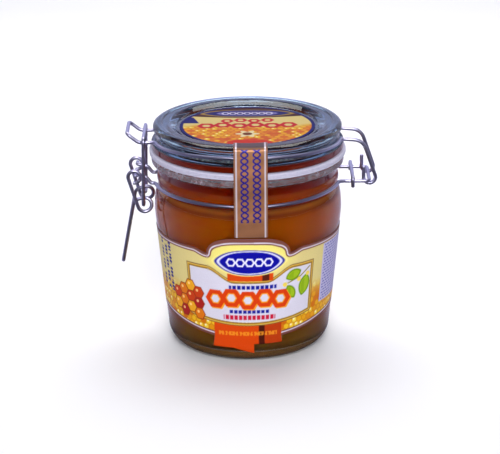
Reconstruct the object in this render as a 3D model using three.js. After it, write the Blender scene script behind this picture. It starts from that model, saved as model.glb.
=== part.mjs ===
// Clip-top honey jar: a tapered glass jar with a glass lid, a rubber ring, bent wire fittings and paper labels.
// Millimetres, +Z up. The origin is on the jar's axis, on the surface it stands on.
// The front label faces -Y, the clasp and its lever are at -X, and the lid's wire hinge is at +X.
import * as THREE from 'three';

// Driving dimensions of the glass jar, as radii and heights
const gap = 0.3;
const turnSteps = 48;
const footCorner = 9.4;
const footSteps = 5;
const puntRadius = 24;
const puntSlope = 3;
const puntDepth = 1.2;
const bodyRadiusLow = 40.2;
const bodyRadiusHigh = 46;
const bodyTopHeight = 68;
const glassWall = 3.3;
const floorThickness = 5;
const shoulderCorner = 78;
const shoulderSteps = 4;
const insideCorner = 6;
const insideSteps = 3;
const insideShoulderBottom = 72;
const insideShoulderTop = 79;
const neckBore = 39.2;
const grooveRadius = 43.9;
const grooveBottom = 80.6;
const grooveTop = 83.2;
const beadRadius = 44.5;
const beadBottom = 84;
const beadTop = 85.6;
const neckRadius = 43.5;
const neckBottom = 87;
const neckTop = 90.8;
const flangeRadius = 47;
const flangeBottom = 92.2;
const flangeTop = 96.1;
const moldedEdge = 0.7;
const honeyLevel = 92.5;

// Driving dimensions of the lid, its rubber ring and its label, as radii and heights
const gasketOuterRadius = 48;
const gasketInnerRadius = 40.5;
const gasketTop = 99.2;
const lidRadius = 46;
const lidTop = 111.8;
const lidRimDrop = 1.3;
const lidRimWall = 1.9;
const lidGrooveRadius = 44.9;
const lidGrooveTop = 107.7;
const lidLedgeRadius = 46.9;
const lidLedgeTop = 103.1;
const lidPlugRadius = 38.6;
const lidPlugBottom = 94.4;
const lidHollowRadius = 34;
const lidHollowTopRadius = 30;
const lidHollowTop = 103.7;
const labelWellRadius = 34.4;
const labelWellFloor = 109.05;
const labelWellSlope = 3.6;
const lidLabelRadius = 33;
const paper = 0.3;

// Driving dimensions of the front label, with angles round the jar from the front in degrees
const labelColumns = 84;
const labelColumnCrowding = 0.65;
const labelReach = 150;
const labelTop = 60.2;
const labelNotchAngle = 26;
const labelNotchHeight = 58;
const labelArchTop = 67;
const labelArchSquareness = 3.2;
const labelArchRise = 0.53;
const labelBottomFront = 13.2;
const labelBottomRise = 7.2;
const ribbonLeft = -24;
const ribbonTipStart = -10.3;
const ribbonTip = 3.3;
const ribbonRight = 22.5;
const ribbonLowLeft = 8.8;
const ribbonLowTip = 5.8;
const ribbonLowRight = 10.8;

// Driving dimensions of the seal strip
const stripWidth = 16;
const stripCentre = 1.4;
const stripColumns = 4;
const stripEndHeight = 67.6;
const stripBendStart = 1.4;
const stripBendDrop = 1.6;
const stripOverRim = 0.9;
const stripBendSteps = 6;
const stripOnGasket = 1.2;

// Driving dimensions of the wire fittings, with places seen from the front given as [x, z]
const wireDiameter = 1.8;
const wireSides = 8;
const softBend = 2.4;
const tightBend = 0.9;
const bendSteps = 4;
const ringSteps = 20;
const ringRunOut = 7;
const pinRunOut = 3;
const lidWireRadius = 46.1;
const lidWireFront = 106.8;
const lidWireSide = 104.3;
const neckWireRadius = 45.8;
const neckWireFront = 82.7;
const noseHalfWidth = 10.6;
const noseBend = [-52.4, 103.95];
const noseTip = [-58.2, 108.6];
const hingeLegY = 9.2;
const hookCentre = [59.3, 85.3];
const hookRadius = 2.9;
const hookSteps = 9;
const hookEndHeight = 91.2;
const hingeBend = [55.7, 104.3];
const loopLegY = 11.5;
const loopHeight = 84.2;
const loopBarX = 59.2;
const tieX = 51;
const tieHalfWidth = 13.8;
const tieLeg = 4.6;
const leverPivot = [-54.6, 87.3];
const claspPivot = [-50.9, 73.2];
const claspTop = [-50.2, 106.65];
const claspHalfWidth = 13.5;
const claspEndY = 7.6;
const pinStep = [-49.4, 86];
const pinFootX = -47.2;
const pinLegY = 8.6;
const pinEndY = 12.1;
const armY = 10.9;
const handleY = 8.8;
const eyeCentre = [-55.2, 86.8];
const eyeRadius = 3;
const eyeTurn = 300;
const eyeSteps = 13;
const coilCentre = [-50.4, 72.3];
const coilRadius = 3.35;
const coilTurn = 262;
const coilSteps = 12;
const handleTop = [-55.7, 74.3];
const handleEnd = [-61.8, 42.6];

function material(color, roughness, metalness, opacity = 1) {
  return new THREE.MeshStandardMaterial({ color, roughness, metalness, opacity, transparent: opacity < 1 });
}

const clearGlass = material(0x9fb4b4, 0.06, 0, 0.35);
const honeyAmber = material(0x7a3606, 0.15, 0);
const whiteRubber = material(0xd9d6e6, 0.5, 0);
const zincWire = material(0xb4b2c4, 0.25, 1);
const printedPaper = material(0xe4d7a4, 0.55, 0);
const copperPaper = material(0xb07c4c, 0.4, 0.2);
const lidPaper = material(0xe9b43a, 0.5, 0);

function named(name, geometry, surface) {
  const mesh = new THREE.Mesh(geometry, surface);
  mesh.name = name;
  return mesh;
}

// A solid of revolution about Z from a closed half-section given as [radius, height] pairs
function turned(section) {
  const points = section.map(([radius, height]) => new THREE.Vector2(radius, height));
  return new THREE.LatheGeometry(points, turnSteps).rotateX(Math.PI / 2);
}

// Points of a round corner in a half-section, from one angle to another in degrees
function roundCorner(centre, radius, fromDegrees, toDegrees, steps) {
  const corner = [];
  for (let i = 0; i <= steps; i += 1) {
    const angle = THREE.MathUtils.degToRad(THREE.MathUtils.lerp(fromDegrees, toDegrees, i / steps));
    corner.push([centre[0] + radius * Math.cos(angle), centre[1] + radius * Math.sin(angle)]);
  }
  return corner;
}

// Points of a curve in a half-section, from one point to another, bending towards the corner between them
function smoothStretch(from, corner, to, steps) {
  const [start, control, end] = [from, corner, to].map(([radius, height]) => new THREE.Vector2(radius, height));
  const points = new THREE.QuadraticBezierCurve(start, control, end).getPoints(steps);
  return points.map((point) => [point.x, point.y]);
}

// Outer radius of the straight tapered wall at a height
function wallRadius(height) {
  const share = THREE.MathUtils.clamp((height - footCorner) / (bodyTopHeight - footCorner), 0, 1);
  return THREE.MathUtils.lerp(bodyRadiusLow, bodyRadiusHigh, share);
}

function jarGlass() {
  const boreBottom = floorThickness + insideCorner;
  const boreRadius = wallRadius(boreBottom) - glassWall;
  return turned([
    [0, puntDepth],
    [puntRadius - puntSlope, puntDepth],
    [puntRadius, 0],
    ...roundCorner([bodyRadiusLow - footCorner, footCorner], footCorner, -90, 0, footSteps),
    ...smoothStretch(
      [bodyRadiusHigh, bodyTopHeight],
      [bodyRadiusHigh, shoulderCorner],
      [grooveRadius, grooveBottom],
      shoulderSteps,
    ),
    [grooveRadius, grooveTop],
    [beadRadius, beadBottom],
    [beadRadius, beadTop],
    [neckRadius, neckBottom],
    [neckRadius, neckTop],
    [flangeRadius - moldedEdge, flangeBottom],
    [flangeRadius, flangeBottom + moldedEdge],
    [flangeRadius, flangeTop - moldedEdge],
    [flangeRadius - moldedEdge, flangeTop],
    [neckBore, flangeTop],
    [neckBore, insideShoulderTop],
    [bodyRadiusHigh - glassWall, insideShoulderBottom],
    [bodyRadiusHigh - glassWall, bodyTopHeight],
    ...roundCorner([boreRadius - insideCorner, boreBottom], insideCorner, 0, -90, insideSteps),
    [0, floorThickness],
  ]);
}

// Honey up to its level, clear of the glass by the working gap
function honey() {
  const boreBottom = floorThickness + insideCorner;
  const cornerCentre = wallRadius(boreBottom) - glassWall - insideCorner;
  return turned([
    [0, floorThickness + gap],
    ...roundCorner([cornerCentre, boreBottom], insideCorner - gap, -90, 0, insideSteps),
    [bodyRadiusHigh - glassWall - gap, bodyTopHeight],
    [bodyRadiusHigh - glassWall - gap, insideShoulderBottom - gap],
    [neckBore - gap, insideShoulderTop - gap],
    [neckBore - gap, honeyLevel],
    [0, honeyLevel],
  ]);
}

// Flat rubber ring squeezed between the jar's flange and the lid
function gasket() {
  const bottom = flangeTop + gap;
  return turned([
    [gasketInnerRadius, bottom],
    [gasketOuterRadius - moldedEdge, bottom],
    [gasketOuterRadius, bottom + moldedEdge],
    [gasketOuterRadius, gasketTop - moldedEdge],
    [gasketOuterRadius - moldedEdge, gasketTop],
    [gasketInnerRadius, gasketTop],
    [gasketInnerRadius, bottom],
  ]);
}

// Pressed glass lid: a plug in the mouth, a ledge on the rubber, a groove for the wire and a well for the label
function lidGlass() {
  const ledgeBottom = gasketTop + gap;
  return turned([
    [0, lidHollowTop],
    [lidHollowTopRadius, lidHollowTop],
    [lidHollowRadius, lidPlugBottom],
    [lidPlugRadius - moldedEdge, lidPlugBottom],
    [lidPlugRadius, lidPlugBottom + moldedEdge],
    [lidPlugRadius, ledgeBottom],
    [lidLedgeRadius - moldedEdge, ledgeBottom],
    [lidLedgeRadius, ledgeBottom + moldedEdge],
    [lidLedgeRadius, lidLedgeTop - moldedEdge],
    [lidLedgeRadius - moldedEdge, lidLedgeTop],
    [lidGrooveRadius, lidLedgeTop],
    [lidGrooveRadius, lidGrooveTop],
    [lidRadius, lidTop - lidRimDrop - lidRimWall],
    [lidRadius, lidTop - lidRimDrop],
    [lidRadius - lidRimWall, lidTop],
    [labelWellRadius + labelWellSlope, lidTop],
    [labelWellRadius + moldedEdge, labelWellFloor + moldedEdge],
    [labelWellRadius, labelWellFloor],
    [0, labelWellFloor],
  ]);
}

function lidLabel() {
  const height = labelWellFloor + gap;
  return turned([
    [0, height],
    [lidLabelRadius, height],
    [lidLabelRadius, height + paper],
    [0, height + paper],
  ]);
}

// Places the corners of a subdivided box: place(across, thick, along) gives a point for values from 0 to 1
function shapedSheet(columns, rows, place) {
  const sheet = new THREE.BoxGeometry(1, 1, 1, columns, 1, rows);
  const position = sheet.attributes.position;
  for (let i = 0; i < position.count; i += 1) {
    const point = place(position.getX(i) + 0.5, position.getY(i) + 0.5, position.getZ(i) + 0.5);
    position.setXYZ(i, point.x, point.y, point.z);
  }
  return sheet;
}

// A point at an angle round the jar, measured in degrees from the front towards +X
function roundTheJar(degrees, radius, height) {
  const angle = THREE.MathUtils.degToRad(degrees);
  return new THREE.Vector3(radius * Math.sin(angle), -radius * Math.cos(angle), height);
}

// The label's top edge: level, with a notch at each side of a flat arch over the front
function labelTopEdge(degrees) {
  const share = Math.abs(degrees) / labelNotchAngle;
  if (share > 1) {
    return labelTop;
  }
  const rise = (1 - share ** labelArchSquareness) ** labelArchRise;
  return THREE.MathUtils.lerp(labelNotchHeight, labelArchTop, rise);
}

// The label's bottom edge: lowest at the front, with the cut end of a printed ribbon hanging below it
function labelBottomEdge(degrees) {
  const side = Math.sin(THREE.MathUtils.degToRad(Math.min(Math.abs(degrees), 90)));
  if (degrees > ribbonLeft && degrees < ribbonTip) {
    const share = THREE.MathUtils.clamp((degrees - ribbonTipStart) / (ribbonTip - ribbonTipStart), 0, 1);
    return THREE.MathUtils.lerp(ribbonLowLeft, ribbonLowTip, share);
  }
  if (degrees >= ribbonTip && degrees < ribbonRight) {
    return ribbonLowRight;
  }
  return labelBottomFront + labelBottomRise * side * side;
}

// Inner face of the label: the wall's radius, and round the foot where the ribbon reaches down
function labelRadius(height) {
  const drop = Math.max(footCorner - height, 0);
  const cornerLoss = footCorner - Math.sqrt(footCorner ** 2 - drop ** 2);
  return wallRadius(height) - cornerLoss + gap;
}

// Columns of the label, as angles, closer together under the arch and the ribbon
function labelAngle(share) {
  const side = share * 2 - 1;
  return labelReach * THREE.MathUtils.lerp(side, side ** 3, labelColumnCrowding);
}

function bodyLabel() {
  return shapedSheet(labelColumns, 1, (across, thick, along) => {
    const degrees = labelAngle(across);
    const height = THREE.MathUtils.lerp(labelBottomEdge(degrees), labelTopEdge(degrees), along);
    return roundTheJar(degrees, labelRadius(height) + (1 - thick) * paper, height);
  });
}

// The seal strip's inner face in section, from the lid label over the rim and down to the front label
function stripSection() {
  const top = lidTop + gap;
  const rim = smoothStretch(
    [lidRadius - stripBendStart, top],
    [lidRadius + stripOverRim, top],
    [lidRadius + stripOverRim, lidTop - stripBendDrop],
    stripBendSteps,
  );
  return [
    [lidLabelRadius + gap, labelWellFloor + gap],
    [labelWellRadius + labelWellSlope, top],
    ...rim,
    [gasketOuterRadius + gap, gasketTop - stripOnGasket],
    [wallRadius(stripEndHeight) + gap, stripEndHeight],
  ].map(([radius, height]) => new THREE.Vector2(radius, height));
}

function sealStrip() {
  const stations = stripSection();
  const rows = stations.length - 1;
  return shapedSheet(stripColumns, rows, (across, thick, along) => {
    const i = Math.round((1 - along) * rows);
    const before = stations[Math.max(i - 1, 0)];
    const after = stations[Math.min(i + 1, rows)];
    const direction = after.clone().sub(before).normalize();
    const out = (1 - thick) * paper;
    const radius = stations[i].x - direction.y * out;
    const height = stations[i].y + direction.x * out;
    const x = stripCentre + (across - 0.5) * stripWidth;
    return new THREE.Vector3(x, -Math.sqrt(radius ** 2 - x ** 2), height);
  });
}

// A curve through a wire's stations, sampled only at them, so that straight runs cost no faces
class StationCurve extends THREE.Curve {
  constructor(stations) {
    super();
    this.stations = stations;
  }

  getPoint(t) {
    return this.stations[Math.round(t * (this.stations.length - 1))].clone();
  }

  getTangent(t) {
    const i = Math.round(t * (this.stations.length - 1));
    const here = this.stations[i];
    const before = this.stations[Math.max(i - 1, 0)];
    const after = this.stations[Math.min(i + 1, this.stations.length - 1)];
    const arriving = here.clone().sub(before).normalize();
    const leaving = after.clone().sub(here).normalize();
    return arriving.add(leaving).normalize();
  }

  getTangentAt(t) {
    return this.getTangent(t);
  }

  getSpacedPoints(divisions) {
    return this.getPoints(divisions);
  }
}

function wireSection() {
  const corners = [];
  for (let i = 0; i < wireSides; i += 1) {
    const angle = ((i + 0.5) / wireSides) * Math.PI * 2;
    corners.push(new THREE.Vector2(Math.cos(angle), Math.sin(angle)).multiplyScalar(wireDiameter / 2));
  }
  return new THREE.Shape(corners);
}

// A round wire through the stations of its near half, mirrored to the far half across Y = 0
function mirroredWire(nearHalf) {
  const farHalf = nearHalf.map((point) => new THREE.Vector3(point.x, -point.y, point.z)).reverse();
  const stations = [...nearHalf, ...farHalf];
  return new THREE.ExtrudeGeometry(wireSection(), {
    steps: stations.length - 1,
    extrudePath: new StationCurve(stations),
    bevelEnabled: false,
  });
}

// Stations of a wire bent at corners, each given as [x, y, z, distance from the corner where its bend starts]
function bentRun(corners) {
  const points = corners.map(([x, y, z]) => new THREE.Vector3(x, y, z));
  const stations = [points[0]];
  for (let i = 1; i < corners.length - 1; i += 1) {
    const reach = corners[i][3];
    if (reach > 0) {
      const start = points[i].clone().add(points[i - 1].clone().sub(points[i]).setLength(reach));
      const end = points[i].clone().add(points[i + 1].clone().sub(points[i]).setLength(reach));
      stations.push(...new THREE.QuadraticBezierCurve3(start, points[i], end).getPoints(bendSteps));
    } else {
      stations.push(points[i]);
    }
  }
  stations.push(points.at(-1));
  return stations;
}

// Corners along a wire ring between two angles in degrees, anticlockwise from +X, with its height by angle
function ringCorners(radius, fromDegrees, toDegrees, heightAt) {
  const corners = [];
  for (let i = 0; i <= ringSteps; i += 1) {
    const angle = THREE.MathUtils.degToRad(THREE.MathUtils.lerp(fromDegrees, toDegrees, i / ringSteps));
    corners.push([radius * Math.cos(angle), radius * Math.sin(angle), heightAt(angle), 0]);
  }
  return corners;
}

// Stations of a turn in a wire loop seen from the front, with Y drifting along the wire like a spring's
function loopTurn(centre, radius, fromDegrees, toDegrees, fromY, toY, steps) {
  const stations = [];
  for (let i = 0; i <= steps; i += 1) {
    const share = i / steps;
    const angle = THREE.MathUtils.degToRad(THREE.MathUtils.lerp(fromDegrees, toDegrees, share));
    const x = centre[0] + radius * Math.cos(angle);
    const z = centre[1] + radius * Math.sin(angle);
    stations.push(new THREE.Vector3(x, THREE.MathUtils.lerp(fromY, toY, share), z));
  }
  return stations;
}

// Where a leg at a given Y meets a ring: the angle in degrees from the X axis, and the X there
function meeting(radius, legY) {
  return { degrees: THREE.MathUtils.radToDeg(Math.asin(legY / radius)), x: Math.sqrt(radius ** 2 - legY ** 2) };
}

// Lid wire: hooks at the hinge, legs, a ring in the lid's groove and the turned-up nose that the clasp holds
function lidWire() {
  const heightAt = (angle) => lidWireSide + (lidWireFront - lidWireSide) * Math.sin(angle) ** 2;
  const hinge = meeting(lidWireRadius, hingeLegY);
  const nose = meeting(lidWireRadius, noseHalfWidth);
  const lean = Math.atan2(hookCentre[0] + hookRadius - hingeBend[0], hingeBend[1] - hookCentre[1]);
  const hookEnd = 360 + THREE.MathUtils.radToDeg(lean);
  const hook = loopTurn(hookCentre, hookRadius, 180, hookEnd, -hingeLegY, -hingeLegY, hookSteps);
  const hookTop = new THREE.Vector3(hookCentre[0] - hookRadius, -hingeLegY, hookEndHeight);
  const hookOut = hook.at(-1);
  const run = bentRun([
    [hookOut.x, hookOut.y, hookOut.z, 0],
    [hingeBend[0], -hingeLegY, hingeBend[1], softBend],
    [hinge.x, -hingeLegY, lidWireSide, softBend],
    ...ringCorners(lidWireRadius, -hinge.degrees - ringRunOut, -180 + nose.degrees + ringRunOut, heightAt),
    [-nose.x, -noseHalfWidth, lidWireSide, softBend],
    [noseBend[0], -noseHalfWidth, noseBend[1], softBend],
    [noseTip[0], -noseHalfWidth, noseTip[1], softBend],
    [noseTip[0], -noseHalfWidth / 2, noseTip[1], 0],
  ]);
  return mirroredWire([hookTop, ...hook, ...run.slice(1)]);
}

// Neck wire: pins for the lever, a ring in the neck's groove and the loop that the lid's hooks turn on
function neckWire() {
  const footHeight = neckWireFront + gap;
  const ringEndHeight = loopHeight - gap;
  const heightAt = (angle) => {
    const side = Math.cos(angle);
    const rise = (side > 0 ? ringEndHeight : footHeight) - neckWireFront;
    return neckWireFront + rise * side * side;
  };
  const pinLeg = meeting(neckWireRadius, pinLegY);
  const loopLeg = meeting(neckWireRadius, loopLegY);
  return mirroredWire(bentRun([
    [leverPivot[0], -pinEndY, leverPivot[1], 0],
    [leverPivot[0], -pinLegY, leverPivot[1], tightBend],
    [pinStep[0], -pinLegY, pinStep[1], tightBend],
    [pinFootX, -pinLegY, footHeight, tightBend],
    [-pinLeg.x - gap, -pinLegY, footHeight, tightBend],
    ...ringCorners(neckWireRadius, 180 + pinLeg.degrees + pinRunOut, 360 - loopLeg.degrees - ringRunOut, heightAt),
    [loopLeg.x, -loopLegY, loopHeight, softBend],
    [loopBarX, -loopLegY, loopHeight, softBend],
    [loopBarX, -loopLegY / 2, loopHeight, 0],
  ]));
}

// Short wire laid over the neck wire's loop with its ends bent down, which holds the two legs together
function hingeTie() {
  const height = loopHeight + wireDiameter + gap;
  return mirroredWire(bentRun([
    [tieX, -tieHalfWidth, height - tieLeg, 0],
    [tieX, -tieHalfWidth, height, softBend / 2],
    [tieX, -tieHalfWidth / 2, height, 0],
  ]));
}

// Lever: an eye on the neck wire's pin, an arm, a coil round the clasp's end and the handle
function lever() {
  const arm = new THREE.Vector2(coilCentre[0] - eyeCentre[0], coilCentre[1] - eyeCentre[1]);
  const lean = Math.atan2(arm.x, -arm.y) - Math.asin((coilRadius - eyeRadius) / arm.length());
  const tangent = 180 + THREE.MathUtils.radToDeg(lean);
  const eye = loopTurn(eyeCentre, eyeRadius, tangent - eyeTurn, tangent, -armY, -armY, eyeSteps);
  const coil = loopTurn(coilCentre, coilRadius, tangent, tangent + coilTurn, -armY, -handleY, coilSteps);
  const off = coil.at(-1);
  const handle = bentRun([
    [off.x, off.y, off.z, 0],
    [handleTop[0], -handleY, handleTop[1], softBend],
    [handleEnd[0], -handleY, handleEnd[1], softBend],
    [handleEnd[0], -handleY / 2, handleEnd[1], 0],
  ]);
  return mirroredWire([...eye, ...coil, ...handle.slice(1)]);
}

// Clasp: a wire loop from the lever's coils up over the lid wire's nose
function clasp() {
  return mirroredWire(bentRun([
    [claspPivot[0], -claspEndY, claspPivot[1], 0],
    [claspPivot[0], -claspHalfWidth, claspPivot[1], softBend / 2],
    [claspTop[0], -claspHalfWidth, claspTop[1], softBend],
    [claspTop[0], -claspHalfWidth / 2, claspTop[1], 0],
  ]));
}

const honeyJar = new THREE.Group();
honeyJar.add(
  named('jar_glass', jarGlass(), clearGlass),
  named('honey', honey(), honeyAmber),
  named('gasket', gasket(), whiteRubber),
  named('lid_glass', lidGlass(), clearGlass),
  named('lid_label', lidLabel(), lidPaper),
  named('body_label', bodyLabel(), printedPaper),
  named('seal_strip', sealStrip(), copperPaper),
  named('lid_wire', lidWire(), zincWire),
  named('neck_wire', neckWire(), zincWire),
  named('hinge_tie', hingeTie(), zincWire),
  named('lever', lever(), zincWire),
  named('clasp', clasp(), zincWire),
);

export default honeyJar;
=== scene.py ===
import math

import bmesh
import bpy
import numpy as np
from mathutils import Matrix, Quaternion, Vector


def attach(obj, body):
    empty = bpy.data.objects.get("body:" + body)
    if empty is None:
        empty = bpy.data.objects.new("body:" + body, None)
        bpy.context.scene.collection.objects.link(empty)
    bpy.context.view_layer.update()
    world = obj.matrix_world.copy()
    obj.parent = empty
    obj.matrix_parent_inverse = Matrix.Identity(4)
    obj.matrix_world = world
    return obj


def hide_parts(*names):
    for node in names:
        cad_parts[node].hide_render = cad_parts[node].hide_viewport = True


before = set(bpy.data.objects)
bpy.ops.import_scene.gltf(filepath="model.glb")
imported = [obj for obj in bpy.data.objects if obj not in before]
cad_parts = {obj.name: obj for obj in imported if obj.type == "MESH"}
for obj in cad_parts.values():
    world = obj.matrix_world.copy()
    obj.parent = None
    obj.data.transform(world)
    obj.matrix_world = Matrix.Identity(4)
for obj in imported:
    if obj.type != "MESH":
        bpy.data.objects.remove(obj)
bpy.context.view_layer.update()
scene = bpy.context.scene
scene.view_settings.view_transform = "Standard"  # printed colours come out as they are given
print("frame loaded:", len(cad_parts), "nodes")

# Shapes are worked out in millimetres and degrees, with +Z up and the front label towards -Y.
toMetres = 0.001


# sRGB values from 0 to 1 of a hex text
def ink(colour):
    return np.array([int(colour[i:i + 2], 16) / 255 for i in (1, 3, 5)])


# sRGB to linear, with alpha 1, of a hex text or of an array of sRGB values
def linear(colour):
    value = np.clip(ink(colour) if isinstance(colour, str) else colour, 0, 1)
    rgb = np.where(value <= 0.04045, value / 12.92, ((value + 0.055) / 1.055) ** 2.4)
    return np.concatenate([rgb, np.ones(rgb.shape[:-1] + (1,))], -1)


# feeds a node's sockets, each from another node and the name or number of its output
def feed(tree, node, links):
    for socket, (source, output) in links.items():
        tree.links.new(source.outputs[output], node.inputs[socket])


# adds one shader node: settings fill its sockets or its properties, links feed its sockets, and stops are a
# colour ramp's, from 0 to 1 with a hex text each
def addNode(tree, kind, settings=None, links=None, stops=None):
    made = tree.nodes.new("ShaderNode" + kind)
    for name, value in (settings or {}).items():
        if isinstance(name, int) or name in made.inputs:
            made.inputs[name].default_value = value
        else:
            setattr(made, name, value)
    if stops:
        elements = made.color_ramp.elements
        for position, colour in stops[1:-1]:
            elements.new(position).color = linear(colour)
        for element, (position, colour) in ((elements[0], stops[0]), (elements[-1], stops[-1])):
            element.position = position
            element.color = linear(colour)
    feed(tree, made, links or {})
    return made


# a material with its principled shader set, and its coordinates on the object in metres
def startMaterial(name, settings):
    material = bpy.data.materials.new(name)
    material.use_nodes = True
    tree = material.node_tree
    shader = tree.nodes["Principled BSDF"]
    for socket, value in settings.items():
        shader.inputs[socket].default_value = value
    place = addNode(tree, "TexCoord")
    return material, tree, shader, place


# the scale of a noise whose grains are about so many millimetres across
def grainScale(size):
    return 1 / (size * toMetres)


# a closed mesh from rings of points, an array of stations by points round by x, y, z in millimetres;
# a pole closes an end with a fan, and closedAlong joins the last ring to the first
def ringMesh(name, rings, startPole=None, endPole=None, closedAlong=False):
    stations, around = rings.shape[:2]
    points = rings.reshape(-1, 3)
    row = np.arange(stations if closedAlong else stations - 1)[:, None] + np.zeros((1, around), int)
    column = np.arange(around)
    after, beside = (row + 1) % stations, (column + 1) % around
    corners = [row * around + column, row * around + beside, after * around + beside, after * around + column]
    faces = np.stack(corners, -1).reshape(-1, 4).tolist()
    for pole, ring in ((startPole, 0), (endPole, stations - 1)):
        if pole is not None:
            fan = [ring * around + column, ring * around + beside, np.full(around, len(points))]
            points = np.vstack([points, pole])
            faces += np.stack(fan, -1).tolist()
    mesh = bpy.data.meshes.new(name)
    mesh.from_pydata(points * toMetres, [], faces)
    solid = bmesh.new()
    solid.from_mesh(mesh)
    bmesh.ops.recalc_face_normals(solid, faces=solid.faces)
    solid.to_mesh(mesh)
    solid.free()
    mesh.polygons.foreach_set("use_smooth", np.ones(len(mesh.polygons), bool))
    piece = bpy.data.objects.new(name, mesh)
    scene.collection.objects.link(piece)
    return piece


# a line through corners with each corner rounded: reach is how far from the corner its bend starts,
# and the bend is a parabola from there to the same distance after the corner
def rounded(corners, reaches, steps=8):
    corners = np.asarray(corners, float)
    reach = np.asarray(reaches, float)[:, None]
    before, after = corners - np.roll(corners, 1, 0), np.roll(corners, -1, 0) - corners
    before[0], after[-1] = after[0], before[-1]
    start = corners - before / np.linalg.norm(before, axis=1, keepdims=True) * reach
    end = corners + after / np.linalg.norm(after, axis=1, keepdims=True) * reach
    t = np.linspace(0, 1, steps + 1)[None, :, None]
    curve = (1 - t) ** 2 * start[:, None] + 2 * t * (1 - t) * corners[:, None] + t ** 2 * end[:, None]
    line = curve.reshape(-1, corners.shape[1])
    keep = np.append(True, np.linalg.norm(np.diff(line, axis=0), axis=1) > 1e-6)
    return line[keep]


# more points on a line wherever two are further apart than a step
def refined(line, step):
    lengths = np.append(0, np.cumsum(np.linalg.norm(np.diff(line, axis=0), axis=1)))
    even = np.arange(0, lengths[-1], step)
    at = np.unique(np.round(np.concatenate([lengths, even]), 3))
    return np.stack([np.interp(at, lengths, line[:, k]) for k in range(line.shape[1])], 1)


# a turned piece: the half-section, radius and height, carried round the axis in even steps;
# a section that starts or ends on the axis has a pole there, and any other closes on itself
def turnedPiece(name, section, steps=256):
    angle = np.linspace(0, 2 * math.pi, steps, endpoint=False)
    onAxis = section[:, 0] < 1e-6
    body = section[~onAxis]
    rings = np.stack([
        body[:, :1] * np.sin(angle), -body[:, :1] * np.cos(angle), body[:, 1:] + 0 * angle], -1)
    poles = [np.array([0, 0, height]) for height in section[onAxis, 1]]
    if poles:
        return ringMesh(name, rings, startPole=poles[0], endPole=poles[1])
    return ringMesh(name, rings, closedAlong=True)


# a round wire: circles square to a path, all turned from one fixed direction, with the cut ends rounded over;
# of many directions, spread over a sphere by the golden angle, it is the one furthest from the path
def wirePiece(name, path, diameter, sides=20, tries=400):
    along = np.gradient(path, axis=0)
    along /= np.linalg.norm(along, axis=1, keepdims=True)
    turn = np.arange(tries) * math.pi * (3 - math.sqrt(5))
    height = np.linspace(-1, 1, tries)
    width = np.sqrt(1 - height ** 2)
    candidates = np.stack([width * np.cos(turn), width * np.sin(turn), height], 1)
    fixed = candidates[np.argmin(np.abs(candidates @ along.T).max(1))]
    across = np.cross(along, fixed)
    across /= np.linalg.norm(across, axis=1, keepdims=True)
    over = np.cross(along, across)
    angle = np.linspace(0, 2 * math.pi, sides, endpoint=False)[None, :, None]
    capWidth, capInset = np.array([0.55, 0.85, 1.0]), np.array([0.0, 0.1, 0.3])
    share = np.concatenate([capWidth, np.ones(len(path) - 2), capWidth[::-1]])
    inset = np.concatenate([capInset, np.zeros(len(path) - 2), -capInset[::-1]])
    index = np.concatenate([[0, 0, 0], np.arange(1, len(path) - 1), [-1, -1, -1]]).astype(int)
    centre = path[index] + along[index] * inset[:, None]
    circle = np.cos(angle) * across[index][:, None] + np.sin(angle) * over[index][:, None]
    rings = centre[:, None] + circle * (share * diameter / 2)[:, None, None]
    return ringMesh(name, rings, startPole=path[0], endPole=path[-1])


# a finished piece: its material, the body it moves with and the nodes it stands for
def finishPiece(piece, material, body, nodes):
    piece.data.materials.append(material)
    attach(piece, body)
    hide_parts(*nodes)
    print(piece.name, "made:", len(piece.data.vertices), "points")


# Materials

# tints go by height in millimetres; frost is the band of heights round the mould's seam
# below a given height the glass carries a painted refraction of the honey: olive brown in the jar's foot,
# dark red in the lid
jarGlassLook = {
    "name": "mouldedJarGlass", "waviness": 0.1, "waveLength": 9, "frost": (92.4, 96.2),
    "frostTint": "#bc98ac", "paintedViewHeight": 6.5, "paintedViewClear": 0.5, "paintedViewColour": "#7c5a30",
    "tints": ((0, "#e8eff6"), (90, "#e8eff6"), (120, "#e4e8f2")),
}
lidGlassLook = {
    "name": "pressedLidGlass", "waviness": 0.08, "waveLength": 8, "frost": (104.1, 105.6),
    "frostTint": "#9aa4a0", "paintedViewHeight": 102.4, "paintedViewClear": 0.5, "paintedViewColour": "#741a04",
    "tints": ((94, "#6c8498"), (102.5, "#6c8498"), (103.2, "#98b8d4"), (120, "#a4c2e2")),
}
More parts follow.
